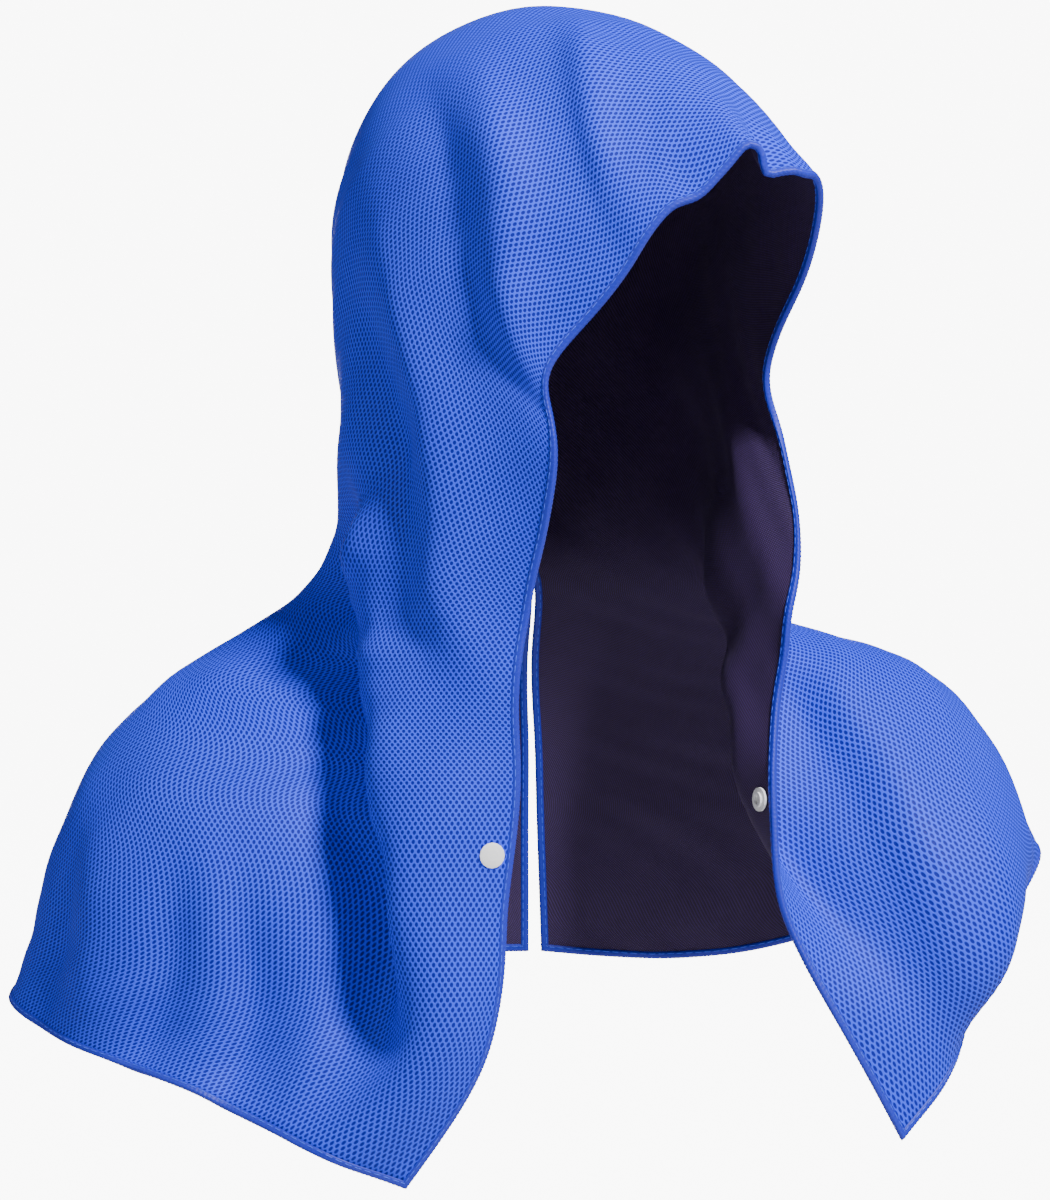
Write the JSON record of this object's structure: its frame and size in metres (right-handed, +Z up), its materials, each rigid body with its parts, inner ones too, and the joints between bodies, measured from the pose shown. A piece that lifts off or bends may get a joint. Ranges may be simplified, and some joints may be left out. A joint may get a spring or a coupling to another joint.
{
  "type": "hooded cooling towel",
  "caption": "Hooded towel of double-faced mesh cloth, in the form it has when worn: hood over a turned head, cape over the shoulders, open front with press snaps.",
  "frame": {"origin": "where the crown of the head touches the inside of the hood, on the axis of the head and neck", "axes": "+Z up, the wearer's chest faces -Y, the wearer's left hand is on +X, and the head is turned to the left"},
  "size_m": [0.5934, 0.3075, 0.6559],
  "materials": {
    "mesh_blue": "air mesh, slightly glossy yarn",
    "lining_dark": "fine twill, matt",
    "edge_blue": "overlocked thread",
    "snap_white": "glossy"
  },
  "bodies": {
    "root": {"mesh_cloth": "mesh_blue", "lining": "lining_dark", "edge_overlock": "edge_blue", "snap_cap_right": "snap_white", "snap_stud_right": "snap_white", "snap_cap_left": "snap_white", "snap_socket_left": "snap_white"}
  },
  "joints": []
}
